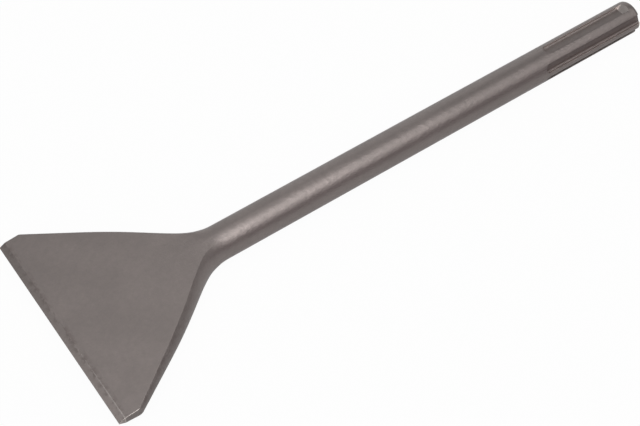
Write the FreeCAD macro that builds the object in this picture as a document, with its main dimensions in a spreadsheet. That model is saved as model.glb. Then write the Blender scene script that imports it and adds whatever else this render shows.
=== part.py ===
import FreeCAD, Part
import os
import Sketcher

# Wide flat chisel for a demolition hammer, forged in one piece from round bar.
# The axis of the bar is X. The struck end of the shank is at the origin, and the cutting edge is
# at the far end of +X, parallel to Y. The blade lies flat, so its two broad faces look up and down.

DIMENSIONS = {
    "overall_length": (350, "struck end to cutting edge"),
    "body_diameter": (18, "round bar, which is also the shank"),
    "struck_end_radius": (2.3, "rounding of the rim at the struck end"),
    "locking_width": (6.2, "closed locking groove, side to side"),
    "locking_depth": (2.3, "locking groove, below the top of the bar"),
    "locking_first": (4.2, "struck end to where the groove's ramp starts"),
    "locking_ramp": (3.6, "length of the ramp into the groove"),
    "locking_last": (61, "struck end to the rounded end of the groove"),
    "slot_width": (5, "open drive slot, side to side"),
    "slot_depth": (2.5, "drive slot, below the round of the bar"),
    "slot_length": (65.5, "struck end to the rounded end of the slot"),
    "slot_spread": (25, "degrees from the middle of the pair to each of the paired slots"),
    "shank_turn": (4, "degrees that the grooves and slots are turned out of square to the blade"),
    "floor_radius": (0.8, "rounding along the floors of grooves and slots"),
    "neck_start": (262, "struck end to where the bar starts to widen"),
    "neck_radius": (26.6, "inside curve of the neck, seen from above"),
    "blade_width": (115, "corner to corner across the blade"),
    "corner_trim": (12.3, "length of the ground flat on each corner"),
    "side_bow": (1.4, "how far a side of the blade bows out of straight"),
    "side_bulge": (0.55, "bulge of the forged side walls, as a share of half the thickness"),
    "face_taper": (5.3, "degrees that each broad face slopes to the axis"),
    "bevel_length": (3.2, "length of the two ground bevels"),
    "bevel_thickness": (3.9, "thickness of the blade where the bevels start"),
    "edge_land": (0.3, "thickness left at the cutting edge"),
}

NECK_STEPS = 4
BLADE_STEPS = 4
CLEAR = 2.0


def size(name):
    """The driving dimension of this name, as an expression."""
    return "Sizes." + name


BAR_RADIUS = f"({size('body_diameter')} / 2)"
CORNER_RUN = f"({size('overall_length')} - {size('corner_trim')} - {size('neck_start')})"
CORNER_RISE = f"({size('blade_width')} / 2 - {BAR_RADIUS} - {size('neck_radius')})"
# The straight side of the fan leaves the neck's curve where the curve has turned by this angle.
FLARE = (
    f"(atan2({CORNER_RISE}; {CORNER_RUN})"
    f" + asin({size('neck_radius')} / sqrt({CORNER_RISE} ^ 2 + {CORNER_RUN} ^ 2)))"
)
# The forged side walls are arcs. On the round bar the same arcs are part of its circle.
BULGE = size("side_bulge")
SIDE_ARC = f"((1 + {BULGE} ^ 2) / (2 * {BULGE}))"


def wedge_height(place):
    """Half the thickness between the two broad faces at a place along the axis."""
    bevel_line = f"({size('overall_length')} - {size('bevel_length')})"
    rise = f"({bevel_line} - {place}) * tan({size('face_taper')} * 1deg)"
    return f"min({BAR_RADIUS}; {size('bevel_thickness')} / 2 + {rise})"


def neck_section(step):
    """Place, half width, edge height and crown of one section between bar and fan."""
    turn = f"({FLARE} * {step} / {NECK_STEPS})"
    place = f"({size('neck_start')} + {size('neck_radius')} * sin({turn}))"
    half_width = f"({BAR_RADIUS} + {size('neck_radius')} * (1 - cos({turn})))"
    flat = f"((1 - cos(180deg * {step} / {NECK_STEPS})) / 2)"
    round_edge = f"({BAR_RADIUS} / {SIDE_ARC})"
    edge_height = f"({round_edge} * (1 - {flat}) + {wedge_height(place)} * {flat})"
    crown = f"(({BAR_RADIUS} - {round_edge}) * (1 - {flat}))"
    return place, half_width, edge_height, crown


def fan_section(step):
    """Place, half width and edge height of one flat-faced section of the fan."""
    neck_end = f"({size('neck_start')} + {size('neck_radius')} * sin({FLARE}))"
    neck_half = f"({BAR_RADIUS} + {size('neck_radius')} * (1 - cos({FLARE})))"
    place = f"({neck_end} + ({size('overall_length')} - {neck_end}) * {step} / {BLADE_STEPS})"
    corner = f"({size('overall_length')} - {size('corner_trim')})"
    share = f"(({place} - {neck_end}) / ({corner} - {neck_end}))"
    bow = f"(4 * {size('side_bow')} * {share} * (1 - {share}))"
    half_width = f"({neck_half} + tan({FLARE}) * ({place} - {neck_end}) + {bow})"
    return place, half_width, wedge_height(place), None


def add_sizes(doc):
    """The sheet of driving dimensions."""
    sheet = doc.addObject("Spreadsheet::Sheet", "Sizes")
    for row, (name, (value, meaning)) in enumerate(DIMENSIONS.items(), start=1):
        sheet.set(f"A{row}", name.replace("_", " "))
        sheet.set(f"B{row}", str(value))
        sheet.set(f"C{row}", meaning)
        sheet.setAlias(f"B{row}", name)
    doc.recompute()


def number(body, expression):
    """What an expression comes to, for the first guess of a sketch."""
    return float(body.evalExpression(expression))


def base_of(body, role):
    """One of the body's own base planes or axes."""
    for feature in body.Origin.OriginFeatures:
        if feature.Role == role:
            return feature
    raise ValueError(f"the body has no {role}")


def add_sketch(body, name, role):
    """An empty sketch on one of the body's base planes."""
    sketch = body.newObject("Sketcher::SketchObject", name)
    sketch.AttachmentSupport = [(base_of(body, role), "")]
    sketch.MapMode = "FlatFace"
    return sketch


def bind(sketch, constraint, name, expression):
    """A named dimension of a sketch, tied to the driving dimensions."""
    index = sketch.addConstraint(constraint)
    sketch.renameConstraint(index, name)
    sketch.setExpression(f"Constraints.{name}", expression)


def add_outline(body, sketch, corners):
    """A closed outline of straight lines, each corner tied to its two expressions."""
    points = [FreeCAD.Vector(number(body, x), number(body, y), 0) for x, y in corners]
    count = len(points)
    for here in range(count):
        sketch.addGeometry(Part.LineSegment(points[here], points[(here + 1) % count]), False)
    for here in range(count):
        sketch.addConstraint(Sketcher.Constraint("Coincident", here, 2, (here + 1) % count, 1))
    for here, (x, y) in enumerate(corners):
        for axis, text, value in (("X", x, points[here].x), ("Y", y, points[here].y)):
            kind = "Distance" + axis
            bind(sketch, Sketcher.Constraint(kind, -1, 1, here, 1, value), f"corner_{here}_{axis}", text)


def revolve_bar(body):
    """The round bar with the rounded rim of its struck end."""
    sketch = add_sketch(body, "BarProfile", "XZ_Plane")
    radius = number(body, BAR_RADIUS)
    rim = number(body, size("struck_end_radius"))
    end = number(body, size("neck_start"))
    vector = FreeCAD.Vector
    centre = vector(rim, radius - rim, 0)
    arc = Part.ArcOfCircle(Part.Circle(centre, vector(0, 0, 1), rim), 1.5707963, 3.1415927)
    sketch.addGeometry(Part.LineSegment(vector(0, 0, 0), vector(0, radius - rim, 0)), False)
    sketch.addGeometry(arc, False)
    sketch.addGeometry(Part.LineSegment(vector(rim, radius, 0), vector(end, radius, 0)), False)
    sketch.addGeometry(Part.LineSegment(vector(end, radius, 0), vector(end, 0, 0)), False)
    sketch.addGeometry(Part.LineSegment(vector(end, 0, 0), vector(0, 0, 0)), False)
    sketch.addConstraint(Sketcher.Constraint("Coincident", 0, 1, -1, 1))
    sketch.addConstraint(Sketcher.Constraint("Vertical", 0))
    sketch.addConstraint(Sketcher.Constraint("Tangent", 0, 2, 1, 2))
    sketch.addConstraint(Sketcher.Constraint("Tangent", 1, 1, 2, 1))
    sketch.addConstraint(Sketcher.Constraint("Coincident", 2, 2, 3, 1))
    sketch.addConstraint(Sketcher.Constraint("Vertical", 3))
    sketch.addConstraint(Sketcher.Constraint("Coincident", 3, 2, 4, 1))
    sketch.addConstraint(Sketcher.Constraint("Coincident", 4, 2, 0, 1))
    sketch.addConstraint(Sketcher.Constraint("Horizontal", 4))
    bind(sketch, Sketcher.Constraint("Radius", 1, rim), "rim", size("struck_end_radius"))
    bind(sketch, Sketcher.Constraint("DistanceY", -1, 1, 2, 1, radius), "radius", BAR_RADIUS)
    bind(sketch, Sketcher.Constraint("DistanceX", -1, 1, 3, 2, end), "length", size("neck_start"))
    bar = body.newObject("PartDesign::Revolution", "Bar")
    bar.Profile = sketch
    bar.ReferenceAxis = (sketch, ["H_Axis"])
    bar.Angle = 360


def arc_over(chord_half, chord_height, radius, quarter):
    """An arc that bows away from the middle over a chord, turned by a number of quarter turns."""
    centre_height = chord_height - (radius ** 2 - chord_half ** 2) ** 0.5
    spin = FreeCAD.Rotation(FreeCAD.Vector(0, 0, 1), 90 * quarter)
    start = spin.multVec(FreeCAD.Vector(chord_half, chord_height, 0))
    middle = spin.multVec(FreeCAD.Vector(0, centre_height + radius, 0))
    end = spin.multVec(FreeCAD.Vector(-chord_half, chord_height, 0))
    return Part.Arc(start, middle, end)


def add_section(body, name, place, half_width, edge_height, crown):
    """One cross-section of neck or fan: bulged side walls, and flat or crowned faces."""
    sketch = add_sketch(body, name, "YZ_Plane")
    sketch.setExpression("AttachmentOffset.Base.z", place)
    edge_half = f"({half_width} - {BULGE} * {edge_height})"
    side_radius = f"({edge_height} * {SIDE_ARC})"
    across = number(body, edge_half)
    up = number(body, edge_height)
    side = number(body, side_radius)
    right = FreeCAD.Vector(across, up, 0)
    left = FreeCAD.Vector(-across, up, 0)
    sketch.addGeometry(arc_over(up, across, side, -1), False)
    if crown:
        face_radius = f"(({crown} ^ 2 + {edge_half} ^ 2) / (2 * {crown}))"
        face = number(body, face_radius)
        sketch.addGeometry(arc_over(across, up, face, 0), False)
    else:
        sketch.addGeometry(Part.LineSegment(right, left), False)
    sketch.addGeometry(arc_over(up, across, side, 1), False)
    if crown:
        sketch.addGeometry(arc_over(across, up, face, 2), False)
    else:
        sketch.addGeometry(Part.LineSegment(-right, -left), False)
    for here in range(4):
        sketch.addConstraint(Sketcher.Constraint("Coincident", here, 2, (here + 1) % 4, 1))
    sketch.addConstraint(Sketcher.Constraint("Symmetric", 0, 1, 0, 2, -1))
    sketch.addConstraint(Sketcher.Constraint("Symmetric", 1, 1, 1, 2, -2))
    sketch.addConstraint(Sketcher.Constraint("Symmetric", 2, 1, 2, 2, -1))
    sketch.addConstraint(Sketcher.Constraint("Equal", 0, 2))
    bind(sketch, Sketcher.Constraint("DistanceX", -1, 1, 0, 2, across), "edge_half", edge_half)
    bind(sketch, Sketcher.Constraint("DistanceY", -1, 1, 0, 2, up), "edge_height", edge_height)
    bind(sketch, Sketcher.Constraint("Radius", 0, side), "side_radius", side_radius)
    if crown:
        sketch.addConstraint(Sketcher.Constraint("Equal", 1, 3))
        bind(sketch, Sketcher.Constraint("Radius", 1, face), "face_radius", face_radius)
    return sketch


def loft_blade(body):
    """Neck and fan: the round bar flattened and spread towards the cutting edge."""
    sections = [add_section(body, "NeckSection0", *neck_section(0))]
    for step in range(1, NECK_STEPS):
        sections.append(add_section(body, f"NeckSection{step}", *neck_section(step)))
    for step in range(BLADE_STEPS + 1):
        sections.append(add_section(body, f"FanSection{step}", *fan_section(step)))
    blade = body.newObject("PartDesign::AdditiveLoft", "Blade")
    blade.Profile = sections[0]
    blade.Sections = sections[1:]
    blade.Ruled = False


def cut_edge(body):
    """The two ground bevels that meet at the cutting edge."""
    tip = size("overall_length")
    bevel_line = f"({tip} - {size('bevel_length')})"
    thick = f"({size('bevel_thickness')} / 2)"
    thin = f"({size('edge_land')} / 2)"
    away = f"({tip} + {CLEAR})"
    high = BAR_RADIUS
    for side, sign in (("Upper", ""), ("Lower", "-")):
        sketch = add_sketch(body, f"{side}Bevel", "XZ_Plane")
        corners = [(bevel_line, thick), (tip, thin), (away, thin), (away, high), (bevel_line, high)]
        add_outline(body, sketch, [(x, sign + z) for x, z in corners])
        cut = body.newObject("PartDesign::Pocket", f"{side}BevelCut")
        cut.Profile = sketch
        cut.Type = "ThroughAll"
        cut.Midplane = True


def trim_corners(body):
    """The ground flats beside the cutting edge, parallel to the axis."""
    near = f"({size('overall_length')} - 2 * {size('corner_trim')})"
    away = f"({size('overall_length')} + {CLEAR})"
    inner = f"({size('blade_width')} / 2)"
    outer = size("blade_width")
    for side, sign in (("Left", ""), ("Right", "-")):
        sketch = add_sketch(body, f"{side}Corner", "XY_Plane")
        corners = [(near, inner), (away, inner), (away, outer), (near, outer)]
        add_outline(body, sketch, [(x, sign + y) for x, y in corners])
        cut = body.newObject("PartDesign::Pocket", f"{side}CornerTrim")
        cut.Profile = sketch
        cut.Type = "ThroughAll"
        cut.Midplane = True


def turn_round_the_bar(sketch, degrees):
    """Turns a sketch about the axis of the bar."""
    sketch.AttachmentOffset = FreeCAD.Placement(
        FreeCAD.Vector(0, 0, 0), FreeCAD.Rotation(FreeCAD.Vector(1, 0, 0), 1)
    )
    sketch.setExpression("AttachmentOffset.Rotation.Angle", f"({degrees}) * 1deg")


def lift_off_the_axis(sketch, height, degrees):
    """Turns a sketch on the level plane about the axis and moves it out to a height above it."""
    turn_round_the_bar(sketch, degrees)
    sketch.setExpression("AttachmentOffset.Base.y", f"-{height} * sin(({degrees}) * 1deg)")
    sketch.setExpression("AttachmentOffset.Base.z", f"{height} * cos(({degrees}) * 1deg)")


def add_groove_outline(body, sketch, first, last, width):
    """A groove seen from above: square at its first end, half round at its last."""
    half = f"({width} / 2)"
    start = number(body, first)
    bend = number(body, f"{last} - {half}")
    across = number(body, half)
    vector = FreeCAD.Vector
    arc = Part.Arc(vector(bend, -across, 0), vector(bend + across, 0, 0), vector(bend, across, 0))
    sketch.addGeometry(Part.LineSegment(vector(start, -across, 0), vector(bend, -across, 0)), False)
    sketch.addGeometry(arc, False)
    sketch.addGeometry(Part.LineSegment(vector(bend, across, 0), vector(start, across, 0)), False)
    sketch.addGeometry(Part.LineSegment(vector(start, across, 0), vector(start, -across, 0)), False)
    sketch.addConstraint(Sketcher.Constraint("Tangent", 0, 2, 1, 1))
    sketch.addConstraint(Sketcher.Constraint("Tangent", 1, 2, 2, 1))
    sketch.addConstraint(Sketcher.Constraint("Coincident", 2, 2, 3, 1))
    sketch.addConstraint(Sketcher.Constraint("Coincident", 3, 2, 0, 1))
    sketch.addConstraint(Sketcher.Constraint("Horizontal", 0))
    sketch.addConstraint(Sketcher.Constraint("Symmetric", 3, 1, 3, 2, -1))
    sketch.addConstraint(Sketcher.Constraint("PointOnObject", 1, 3, -1))
    bind(sketch, Sketcher.Constraint("DistanceX", -1, 1, 3, 1, start), "first", first)
    bind(sketch, Sketcher.Constraint("DistanceX", -1, 1, 1, 3, bend), "bend", f"{last} - {half}")
    bind(sketch, Sketcher.Constraint("Radius", 1, across), "half_width", half)


def cut_drive_slots(body):
    """Three slots that run out at the struck end: a pair on one side and one on the other."""
    spread = size("slot_spread")
    turn = size("shank_turn")
    turns = {"Upper": f"{turn} + {spread} - 90", "Lower": f"{turn} - {spread} - 90", "Single": f"{turn} + 90"}
    for name, degrees in turns.items():
        sketch = add_sketch(body, f"{name}Slot", "XY_Plane")
        lift_off_the_axis(sketch, BAR_RADIUS, degrees)
        add_groove_outline(body, sketch, f"-{CLEAR}", size("slot_length"), size("slot_width"))
        cut = body.newObject("PartDesign::Pocket", f"{name}SlotCut")
        cut.Profile = sketch
        cut.Type = "Length"
        cut.setExpression("Length", size("slot_depth"))


def cut_locking_grooves(body):
    """Two closed grooves, above and below, each with a ramp towards the struck end."""
    ramp_end = f"({size('locking_first')} + {size('locking_ramp')})"
    floor = f"({BAR_RADIUS} - {size('locking_depth')})"
    above = f"({BAR_RADIUS} + {CLEAR})"
    plan = add_sketch(body, "LockingGroove", "XY_Plane")
    lift_off_the_axis(plan, BAR_RADIUS, size("shank_turn"))
    add_groove_outline(body, plan, ramp_end, size("locking_last"), size("locking_width"))
    groove = body.newObject("PartDesign::Pocket", "LockingGrooveCut")
    groove.Profile = plan
    groove.Type = "Length"
    groove.setExpression("Length", size("locking_depth"))
    slope = add_sketch(body, "LockingRamp", "XZ_Plane")
    turn_round_the_bar(slope, size("shank_turn"))
    corners = [(size("locking_first"), BAR_RADIUS), (ramp_end, floor)]
    corners += [(ramp_end, above), (size("locking_first"), above)]
    add_outline(body, slope, corners)
    ramp = body.newObject("PartDesign::Pocket", "LockingRampCut")
    ramp.Profile = slope
    ramp.Type = "Length"
    ramp.Midplane = True
    ramp.setExpression("Length", size("locking_width"))
    body.Document.recompute()
    pair = body.newObject("PartDesign::PolarPattern", "LockingPair")
    pair.Originals = [groove, ramp]
    pair.Axis = (base_of(body, "X_Axis"), [""])
    pair.Angle = 360
    pair.Occurrences = 2
    body.Tip = pair


def floor_edges(body):
    """The long edges and rounded ends where floors of grooves and slots meet their walls."""
    floors = [number(body, f"{BAR_RADIUS} - {size(name)}") for name in ("slot_depth", "locking_depth")]
    last = number(body, size("slot_length"))
    names = {}
    for index, edge in enumerate(body.Shape.Edges, start=1):
        names[edge.hashCode()] = f"Edge{index}"
    found = []
    for face in body.Shape.Faces:
        if not isinstance(face.Surface, Part.Plane) or abs(face.Surface.Axis.x) > 0.01:
            continue
        height = abs(face.CenterOfMass.dot(face.Surface.Axis))
        is_floor = min(abs(height - floor) for floor in floors) < 0.01
        if is_floor and face.CenterOfMass.x < last:
            found += [names[edge.hashCode()] for edge in face.Edges if edge.BoundBox.XLength > 1]
    return found


def round_floors(body):
    """Soft corners along the floors of grooves and slots."""
    cut_shank = body.Tip
    edges = floor_edges(body)
    rounding = body.newObject("PartDesign::Fillet", "FloorRounding")
    rounding.Base = (cut_shank, edges)
    rounding.setExpression("Radius", size("floor_radius"))
    body.Tip = rounding


def check_objects(doc):
    """Stops if any object failed to build."""
    for item in doc.Objects:
        if "Invalid" in item.State or "Error" in item.State:
            raise RuntimeError(f"{item.Name} failed: {item.State}")


def build():
    doc = FreeCAD.newDocument("chisel_document")
    add_sizes(doc)
    body = doc.addObject("PartDesign::Body", "Chisel")
    body.Label = "chisel"
    steps = (
        revolve_bar, loft_blade, cut_edge, trim_corners,
        cut_drive_slots, cut_locking_grooves, round_floors,
    )
    for step in steps:
        step(body)
        doc.recompute()
        check_objects(doc)
        print(f"{step.__name__}: {body.Shape.Volume:.0f} cubic millimetres")
    return doc, body


def main():
    doc, body = build()
    shape = body.Shape
    if shape.isNull() or not shape.isValid() or len(shape.Solids) != 1:
        raise RuntimeError("the chisel is not one valid solid")
    os.makedirs("parts", exist_ok=True)
    shape.exportStep(f"parts/{body.Label}.step")
    print("box", shape.BoundBox, "faces", len(shape.Faces))


main()
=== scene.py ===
import math

import bpy
from mathutils import Matrix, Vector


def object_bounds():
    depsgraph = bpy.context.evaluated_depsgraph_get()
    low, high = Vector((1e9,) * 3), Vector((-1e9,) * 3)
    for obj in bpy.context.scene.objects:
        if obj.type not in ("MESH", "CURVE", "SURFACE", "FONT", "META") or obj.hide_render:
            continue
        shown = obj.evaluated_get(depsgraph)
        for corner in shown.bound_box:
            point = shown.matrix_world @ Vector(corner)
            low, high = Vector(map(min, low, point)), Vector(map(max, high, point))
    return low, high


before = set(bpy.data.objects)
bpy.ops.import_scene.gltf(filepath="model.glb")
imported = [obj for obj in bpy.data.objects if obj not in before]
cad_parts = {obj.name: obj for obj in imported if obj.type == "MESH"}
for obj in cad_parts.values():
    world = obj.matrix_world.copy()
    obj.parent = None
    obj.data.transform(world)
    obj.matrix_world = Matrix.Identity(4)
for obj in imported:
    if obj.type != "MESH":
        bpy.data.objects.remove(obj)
STEEL_NODE = "chisel"

# Places along the tool, from the struck end (X), in metres.
SHANK_END = 0.066
# Where the painted shade of the bar fades out towards the blade.
BAR_SHADE_SPAN = (0.05, 0.24)
BAR_TO_BLADE = (0.255, 0.300)
BLADE_START = (0.27, 0.30)
BEVEL_SKIN = (0.3448, 0.3465)
BEVEL_LINE = 0.3468

# Places across the tool (Y, rising to the low corner of the photo) and over it (Z).
TO_LOW_CORNER = (-0.05, 0.055)
RUB_AND_LIGHT_TO_CORNER = (0.0, 0.055)
TO_NEAR_SLOTS = (-0.003, 0.003)
TO_UPPER_HALF = (-0.002, 0.001)

# Distances: how far rub with painted highlight and scuffs reach from the bevel line, how far
# the steel is searched for edges and for the sides of a slot, and the rounding of its edges.
LINE_RUB_AND_LIGHT = (0.0007, 0.0)
LINE_SCUFFS = (0.0024, 0.0006)
EDGE_REACH = 0.0006
SLOT_REACH = 0.005
EDGE_ROUNDING = 0.0005

# Parts of the normal: along Z for the blade's side walls, along X for shoulders,
# away from the axis for the walls and the floors of slots and groove.
SIDE_WALLS = (0.98, 0.94)
SHOULDERS = (0.3, 0.5)
SLOT_WALLS = (0.4, 0.2)
SLOT_FLOORS = (0.6, 0.9)

# How free of steel the surroundings are at an edge and between the sides of a slot.
EDGE_FREE = (0.92, 0.6)
SLOT_FREE = (0.9, 0.66)

# Noises of the steel: scale, detail, roughness. Then the levels that are used.
CLOUDS = (60.0, 3.0, 0.55)
PATCHES = (330.0, 4.0, 0.6)
GRAIN = (1100.0, 4.0, 0.65)
SPECKS = (2600.0, 2.0, 0.5)
CLOUD_LEVELS = (0.35, 0.65)
NOISE_LEVELS = (0.3, 0.7)
SCUFF_LEVELS = (0.46, 0.58)
RUB_AND_LIGHT_LEVELS = (0.95, 1.35)

# Bumps of patches, grain and specks: strength, distance in metres. Then how much
# higher they are on the bar, on the bevels and on the side walls of the blade.
BUMPS = ((0.10, 0.0003), (0.14, 0.0002), (0.12, 0.0001))
COARSE_BAR = 6.5
COARSE_BEVELS = 9.0
COARSE_SIDES = 9.0

METALLIC = 0.95
ROUGH_PATCHES = (0.45, 0.40)
SMOOTHER_RUB = 0.08
SMOOTHER_BAR = 0.06

# Colours of the steel, linear. Then how strong they and the marks are at most.
SKIN_DARK = (0.254, 0.222, 0.211)
SKIN_LIGHT = (0.278, 0.242, 0.230)
SKIN_PATCHES = (0.198, 0.178, 0.170)
SKIN_GRAIN = (0.180, 0.162, 0.156)
# Painted shade for the blade's side walls and for the bar towards the struck end.
SKIN_PAINTED_SHADE = (0.180, 0.158, 0.150)
GROUND_STEEL = (0.385, 0.338, 0.322)
# Milled steel and painted light for the walls of slots on the upper half.
MILLED_AND_LIT_STEEL = (0.620, 0.555, 0.528)
# Painted shade for the floors of slots and grooves.
SLOT_PAINTED_SHADE = (0.130, 0.108, 0.102)
SCUFF_MARKS = (0.150, 0.122, 0.115)
# Rubbed steel and painted highlight along the edges and the bevel line.
RUBBED_AND_LIT_STEEL = (0.480, 0.440, 0.418)
PATCHES_MOST = 0.3
GRAIN_MOST = 0.25
SIDE_SHADE_MOST = 0.5
BAR_SHADE_MOST = 0.42
LIT_WALLS_MOST = 0.85
SLOT_SHADE_MOST = 0.7
LINE_SCUFFS_MOST = 0.45
SIDE_SCUFFS_MOST = 0.35
RUBBED_AND_LIT_MOST = 0.8
# Painted highlight on the shank's shoulders that face along X.
SHOULDER_HIGHLIGHT_MOST = 0.7
CORNER_LIGHTER_LEAST = 0.1
RUB_AND_LIGHT_LEAST = 0.42

# Soft lights of the studio: height and turn in degrees, sharpness, strength.
GLOWS = (
    (52, 60, 14, 4.55),
    (52, 120, 14, 0.86),
    (72, 90, 14, 2.10),
    (72, 270, 14, 0.93),
    (90, 0, 14, 0.29),
    (30, 160, 14, 0.17),
    (30, 240, 14, 0.68),
    (30, 320, 14, 0.77),
    (8, 144, 14, 0.30),
    (8, 180, 14, 0.62),
    (8, 216, 14, 0.75),
    (8, 252, 14, 0.60),
)
GLOW_WHITE = (1.0, 1.0, 1.0)
ROOM_GLOW = (0, 105, 5, 0.10)
ROOM_WARM = (1.0, 0.30, 0.45)

# The floor: its paint, how much of it camera and gloss see as plain white, half its
# width, the place of its middle along X and its gap to the steel, in metres.
FLOOR_PAINT = (0.6, 0.6, 0.6)
FLOOR_WHITE_SEEN = 0.96
FLOOR_WHITE_MIRRORED = 0.15
FLOOR_REACH = 12.0
FLOOR_MIDDLE = 0.2
FLOOR_GAP = 0.0002

# The camera that was fitted to the photo: sensor and lens in millimetres, then
# its nearest distance and its place in metres, and its axes.
SENSOR_WIDTH = 36.0
LENS = 78.088
CLIP_START = 0.01
CAMERA_PLACE = (0.437430, 0.347642, 0.539860)
CAMERA_RIGHT = (-0.822488, 0.568692, -0.010154)
CAMERA_UP = (-0.460854, -0.655848, 0.597894)
CAMERA_BACK = (0.333358, 0.496440, 0.801511)


def lists(box):
    return [[float(value) for value in corner] for corner in box]


size_at_load = lists(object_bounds())
FLOOR_HEIGHT = size_at_load[0][2]


class Graph:
    """Short names for the nodes and links of one node tree."""

    def __init__(self, tree):
        self.tree = tree
        tree.nodes.clear()

    def add(self, kind, **settings):
        node = self.tree.nodes.new(kind)
        for name, value in settings.items():
            setattr(node, name, value)
        return node

    def link(self, source, target):
        self.tree.links.new(source, target)

    def feed(self, socket, value):
        """Sets a socket to a number or an RGB colour, or links it to an output."""
        if isinstance(value, tuple):
            socket.default_value = (*value, 1.0)
        elif isinstance(value, (int, float)):
            socket.default_value = value
        else:
            self.link(value, socket)

    def math(self, operation, *values):
        node = self.add("ShaderNodeMath", operation=operation)
        for socket, value in zip(node.inputs, values):
            self.feed(socket, value)
        return node.outputs[0]

    def less(self, first, second):
        return self.math("SUBTRACT", first, second)

    def size(self, value):
        return self.math("ABSOLUTE", value)

    def times(self, first, *others):
        for other in others:
            first = self.math("MULTIPLY", first, other)
        return first

    def most(self, first, *others):
        for other in others:
            first = self.math("MAXIMUM", first, other)
        return first

    def axes(self, vector):
        node = self.add("ShaderNodeSeparateXYZ")
        self.link(vector, node.inputs[0])
        return node.outputs

    def dot(self, first, second):
        """The dot product of an output and of another output or a fixed vector."""
        node = self.add("ShaderNodeVectorMath", operation="DOT_PRODUCT")
        self.link(first, node.inputs[0])
        if isinstance(second, tuple):
            node.inputs[1].default_value = second
        else:
            self.link(second, node.inputs[1])
        return node.outputs["Value"]

    def noise(self, place, scale, detail, roughness):
        node = self.add("ShaderNodeTexNoise")
        node.inputs["Scale"].default_value = scale
        node.inputs["Detail"].default_value = detail
        node.inputs["Roughness"].default_value = roughness
        self.link(place, node.inputs["Vector"])
        return node.outputs["Fac"]

    def span(self, value, start, end, at_start=0.0, at_end=1.0):
        """Goes from at_start to at_end while the value goes from start to end."""
        node = self.add("ShaderNodeMapRange", clamp=True)
        self.link(value, node.inputs["Value"])
        node.inputs["From Min"].default_value = start
        node.inputs["From Max"].default_value = end
        node.inputs["To Min"].default_value = at_start
        node.inputs["To Max"].default_value = at_end
        return node.outputs["Result"]

    def mix(self, share, first, second):
        node = self.add("ShaderNodeMix", data_type="RGBA")
        self.feed(node.inputs[0], share)
        self.feed(node.inputs[6], first)
        self.feed(node.inputs[7], second)
        return node.outputs[2]


# Steel

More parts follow.
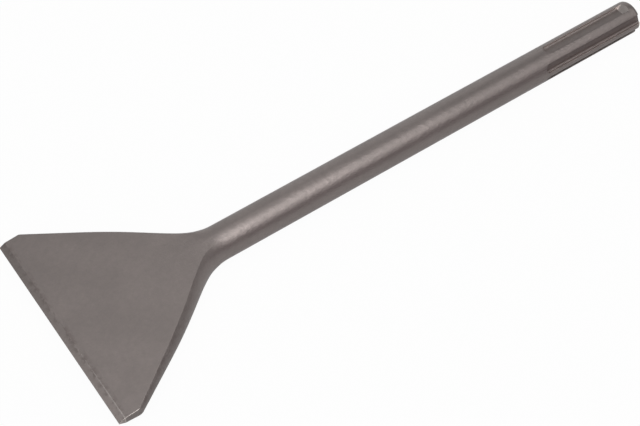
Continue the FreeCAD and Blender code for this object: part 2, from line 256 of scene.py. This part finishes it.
class Steel(Graph):
    """The node tree of the steel, with the places, noises and zones its looks share."""

    def __init__(self, tree):
        super().__init__(tree)
        place = self.add("ShaderNodeTexCoord").outputs["Object"]
        normal = self.add("ShaderNodeNewGeometry").outputs["True Normal"]
        self.along, self.across, self.over = self.axes(place)
        self.clouds = self.noise(place, *CLOUDS)
        self.patches = self.noise(place, *PATCHES)
        self.grain = self.noise(place, *GRAIN)
        self.specks = self.noise(place, *SPECKS)

        self.shank = self.math("LESS_THAN", self.along, SHANK_END)
        self.blade = self.span(self.along, *BLADE_START)
        self.ground = self.math("GREATER_THAN", self.along, BEVEL_LINE)
        self.off_line = self.size(self.less(self.along, BEVEL_LINE))
        self.lighter_to_corner = self.span(self.across, *TO_LOW_CORNER, CORNER_LIGHTER_LEAST, 1.0)

        facing_along, _, facing_over = self.axes(normal)
        # painted highlight on the shoulders of the shank that face along X
        shoulder_highlight = self.span(facing_along, *SHOULDERS, 0.0, SHOULDER_HIGHLIGHT_MOST)
        self.shoulder_highlight = self.times(shoulder_highlight, self.shank)
        sides = self.span(self.size(facing_over), *SIDE_WALLS)
        self.sides = self.times(sides, self.blade, self.less(1.0, self.ground))
        self.outward = self.dot(self.away_from_axis(), normal)

    def away_from_axis(self):
        """The direction from the axis of the bar to the place."""
        offset = self.add("ShaderNodeCombineXYZ")
        self.link(self.across, offset.inputs["Y"])
        self.link(self.over, offset.inputs["Z"])
        away = self.add("ShaderNodeVectorMath", operation="NORMALIZE")
        self.link(offset.outputs[0], away.inputs[0])
        return away.outputs[0]

    def free(self, reach, inside):
        """How free of surface the reach round a place is, outside or inside the steel."""
        node = self.add("ShaderNodeAmbientOcclusion", samples=12, inside=inside)
        node.only_local = True
        node.inputs["Distance"].default_value = reach
        return node.outputs["AO"]

    def lit_slot_walls(self):
        """The milled walls of slots and grooves, lighter both as milled steel and as painted
        light, on the upper half of the shank only.
        """
        steep = self.times(self.span(self.outward, *SLOT_WALLS), self.shank)
        return self.times(steep, self.span(self.over, *TO_UPPER_HALF, 0.0, LIT_WALLS_MOST))

    def slot_floor_shade(self):
        """Painted shade on the floors of slots and grooves, darkest between two close sides
        and fading out towards -Y.
        """
        floors = self.times(self.span(self.outward, *SLOT_FLOORS), self.shank)
        sunk = self.span(self.free(SLOT_REACH, False), *SLOT_FREE)
        return self.times(sunk, floors, self.span(self.across, *TO_NEAR_SLOTS))

    def rub_and_highlight(self):
        """Rubbed edges and bevel line, lighter both as wear and as painted highlight, broken
        up by the grain, and the painted highlight on the shoulders.
        """
        edges = self.span(self.free(EDGE_REACH, True), *EDGE_FREE)
        edges = self.most(edges, self.span(self.off_line, *LINE_RUB_AND_LIGHT))
        zone = self.span(self.across, *RUB_AND_LIGHT_TO_CORNER, RUB_AND_LIGHT_LEAST, 1.0)
        edges = self.times(edges, self.times(self.blade, zone))
        marks = self.span(self.math("ADD", edges, self.grain), *RUB_AND_LIGHT_LEVELS)
        return self.most(marks, self.shoulder_highlight)

    def scuffs(self):
        """Small dark scuffs along the bevel line and on the side walls of the blade."""
        line = self.span(self.off_line, *LINE_SCUFFS, 0.0, LINE_SCUFFS_MOST)
        zone = self.most(line, self.times(self.sides, SIDE_SCUFFS_MOST))
        return self.times(zone, self.span(self.patches, *SCUFF_LEVELS))

    def colour(self, rubbed_and_lit):
        patches = self.span(self.patches, *NOISE_LEVELS, PATCHES_MOST, 0.0)
        grain = self.span(self.grain, *NOISE_LEVELS, GRAIN_MOST, 0.0)
        bar_shade = self.span(self.along, *BAR_SHADE_SPAN, BAR_SHADE_MOST, 0.0)
        layers = (
            (patches, SKIN_PATCHES),
            (grain, SKIN_GRAIN),
            # painted shade: side walls of the blade, and the bar darker towards the struck
            # end
            (self.times(self.sides, SIDE_SHADE_MOST), SKIN_PAINTED_SHADE),
            (bar_shade, SKIN_PAINTED_SHADE),
            # ground bevels of lighter steel, lightest towards the low corner
            (self.times(self.ground, self.lighter_to_corner), GROUND_STEEL),
            # milled steel and painted light on the slot walls of the upper half
            (self.lit_slot_walls(), MILLED_AND_LIT_STEEL),
            # painted shade in the floors of slots and grooves
            (self.times(self.slot_floor_shade(), SLOT_SHADE_MOST), SLOT_PAINTED_SHADE),
            (self.scuffs(), SCUFF_MARKS),
            # rubbed steel and painted highlight along edges and the bevel line
            (self.times(rubbed_and_lit, RUBBED_AND_LIT_MOST), RUBBED_AND_LIT_STEEL),
        )
        clouds = self.span(self.clouds, *CLOUD_LEVELS)
        colour = self.mix(clouds, SKIN_DARK, SKIN_LIGHT)
        for share, tint in layers:
            colour = self.mix(share, colour, tint)
        return colour

    def roughness(self, rubbed_and_lit):
        rough = self.span(self.patches, *NOISE_LEVELS, *ROUGH_PATCHES)
        rough = self.less(rough, self.times(rubbed_and_lit, SMOOTHER_RUB))
        return self.less(rough, self.span(self.along, *BAR_TO_BLADE, SMOOTHER_BAR, 0.0))

    def skin(self):
        """The normal: softly rounded edges, and bumps that are higher where it is coarse."""
        bar = self.span(self.along, *BAR_TO_BLADE, COARSE_BAR, 1.0)
        bevels = self.span(self.along, *BEVEL_SKIN, 1.0, COARSE_BEVELS)
        coarse = self.most(bar, bevels, self.times(self.sides, COARSE_SIDES))
        rounded = self.add("ShaderNodeBevel", samples=6)
        rounded.inputs["Radius"].default_value = EDGE_ROUNDING
        normal = rounded.outputs["Normal"]
        heights = (self.patches, self.grain, self.specks)
        for height, (strength, distance) in zip(heights, BUMPS):
            bump = self.add("ShaderNodeBump")
            bump.inputs["Strength"].default_value = strength
            bump.inputs["Distance"].default_value = distance
            self.link(self.times(height, coarse), bump.inputs["Height"])
            self.link(normal, bump.inputs["Normal"])
            normal = bump.outputs["Normal"]
        return normal


def forged_steel():
    """Blasted warm grey steel with milled slots, ground bevels and rubbed edges, and painted
    light: highlights on edges, shoulders and upper slot walls, shade in slot floors, on the
    blade's side walls and towards the struck end.
    """
    material = bpy.data.materials.new("forged_steel")
    material.use_nodes = True
    steel = Steel(material.node_tree)
    output = steel.add("ShaderNodeOutputMaterial")
    shader = steel.add("ShaderNodeBsdfPrincipled")
    rubbed_and_lit = steel.rub_and_highlight()
    steel.link(steel.colour(rubbed_and_lit), shader.inputs["Base Color"])
    shader.inputs["Metallic"].default_value = METALLIC
    steel.link(steel.roughness(rubbed_and_lit), shader.inputs["Roughness"])
    steel.link(steel.skin(), shader.inputs["Normal"])
    steel.link(shader.outputs["BSDF"], output.inputs["Surface"])
    return material


def dress():
    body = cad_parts[STEEL_NODE]
    body.data.materials.clear()
    body.data.materials.append(forged_steel())


# Studio

def floor_material():
    """A pale floor. Camera and gloss see part of it as plain white, with its shadows."""
    material = bpy.data.materials.new("pale_floor")
    material.use_nodes = True
    graph = Graph(material.node_tree)
    output = graph.add("ShaderNodeOutputMaterial")
    matte = graph.add("ShaderNodeBsdfDiffuse")
    graph.feed(matte.inputs["Color"], FLOOR_PAINT)
    white = graph.add("ShaderNodeEmission")
    rays = graph.add("ShaderNodeLightPath").outputs
    mirrored = graph.most(rays["Is Glossy Ray"], rays["Is Transmission Ray"])
    mirrored = graph.times(mirrored, FLOOR_WHITE_MIRRORED)
    seen = graph.times(rays["Is Camera Ray"], FLOOR_WHITE_SEEN)
    choice = graph.add("ShaderNodeMixShader")
    graph.link(graph.most(seen, mirrored), choice.inputs[0])
    graph.link(matte.outputs["BSDF"], choice.inputs[1])
    graph.link(white.outputs["Emission"], choice.inputs[2])
    graph.link(choice.outputs["Shader"], output.inputs["Surface"])
    return material


def add_floor():
    mesh = bpy.data.meshes.new("floor")
    corners = [
        (x * FLOOR_REACH, y * FLOOR_REACH, 0)
        for x, y in ((-1, -1), (1, -1), (1, 1), (-1, 1))
    ]
    mesh.from_pydata(corners, [], [(0, 1, 2, 3)])
    mesh.materials.append(floor_material())
    floor = bpy.data.objects.new("floor", mesh)
    floor.location = (FLOOR_MIDDLE, 0.0, FLOOR_HEIGHT - FLOOR_GAP)
    bpy.context.scene.collection.objects.link(floor)


def direction(height, turn):
    """The unit vector at a height over the floor and a turn from +X, in degrees."""
    up, turned = math.radians(height), math.radians(turn)
    level = math.cos(up)
    return (level * math.cos(turned), level * math.sin(turned), math.sin(up))


def soft_glow(graph, place, height, turn, sharpness, strength):
    """A round glow in the world, brightest in one direction, that fades out softly."""
    aim = graph.dot(place, direction(height, turn))
    fall = graph.times(graph.less(aim, 1.0), sharpness)
    return graph.times(graph.math("EXPONENT", fall), strength)


def background(graph, colour, strength):
    node = graph.add("ShaderNodeBackground")
    graph.feed(node.inputs["Color"], colour)
    graph.link(strength, node.inputs["Strength"])
    return node.outputs["Background"]


def light_world():
    """Soft lights above and around the tool, and a faint warm glow from the room."""
    world = bpy.data.worlds.new("studio")
    bpy.context.scene.world = world
    world.use_nodes = True
    graph = Graph(world.node_tree)
    output = graph.add("ShaderNodeOutputWorld")
    place = graph.add("ShaderNodeTexCoord").outputs["Generated"]
    level = soft_glow(graph, place, *GLOWS[0])
    for glow in GLOWS[1:]:
        level = graph.math("ADD", level, soft_glow(graph, place, *glow))
    room = soft_glow(graph, place, *ROOM_GLOW)
    both = graph.add("ShaderNodeAddShader")
    graph.link(background(graph, GLOW_WHITE, level), both.inputs[0])
    graph.link(background(graph, ROOM_WARM, room), both.inputs[1])
    graph.link(both.outputs["Shader"], output.inputs["Surface"])


def add_camera():
    data = bpy.data.cameras.new("camera")
    data.sensor_fit = "HORIZONTAL"
    data.sensor_width = SENSOR_WIDTH
    data.lens = LENS
    data.clip_start = CLIP_START
    camera = bpy.data.objects.new("camera", data)
    axes = Matrix((CAMERA_RIGHT, CAMERA_UP, CAMERA_BACK)).transposed()
    camera.matrix_world = Matrix.Translation(CAMERA_PLACE) @ axes.to_4x4()
    bpy.context.scene.collection.objects.link(camera)
    bpy.context.scene.camera = camera


dress()
add_floor()
light_world()
add_camera()
bpy.context.scene.view_settings.view_transform = "Standard"
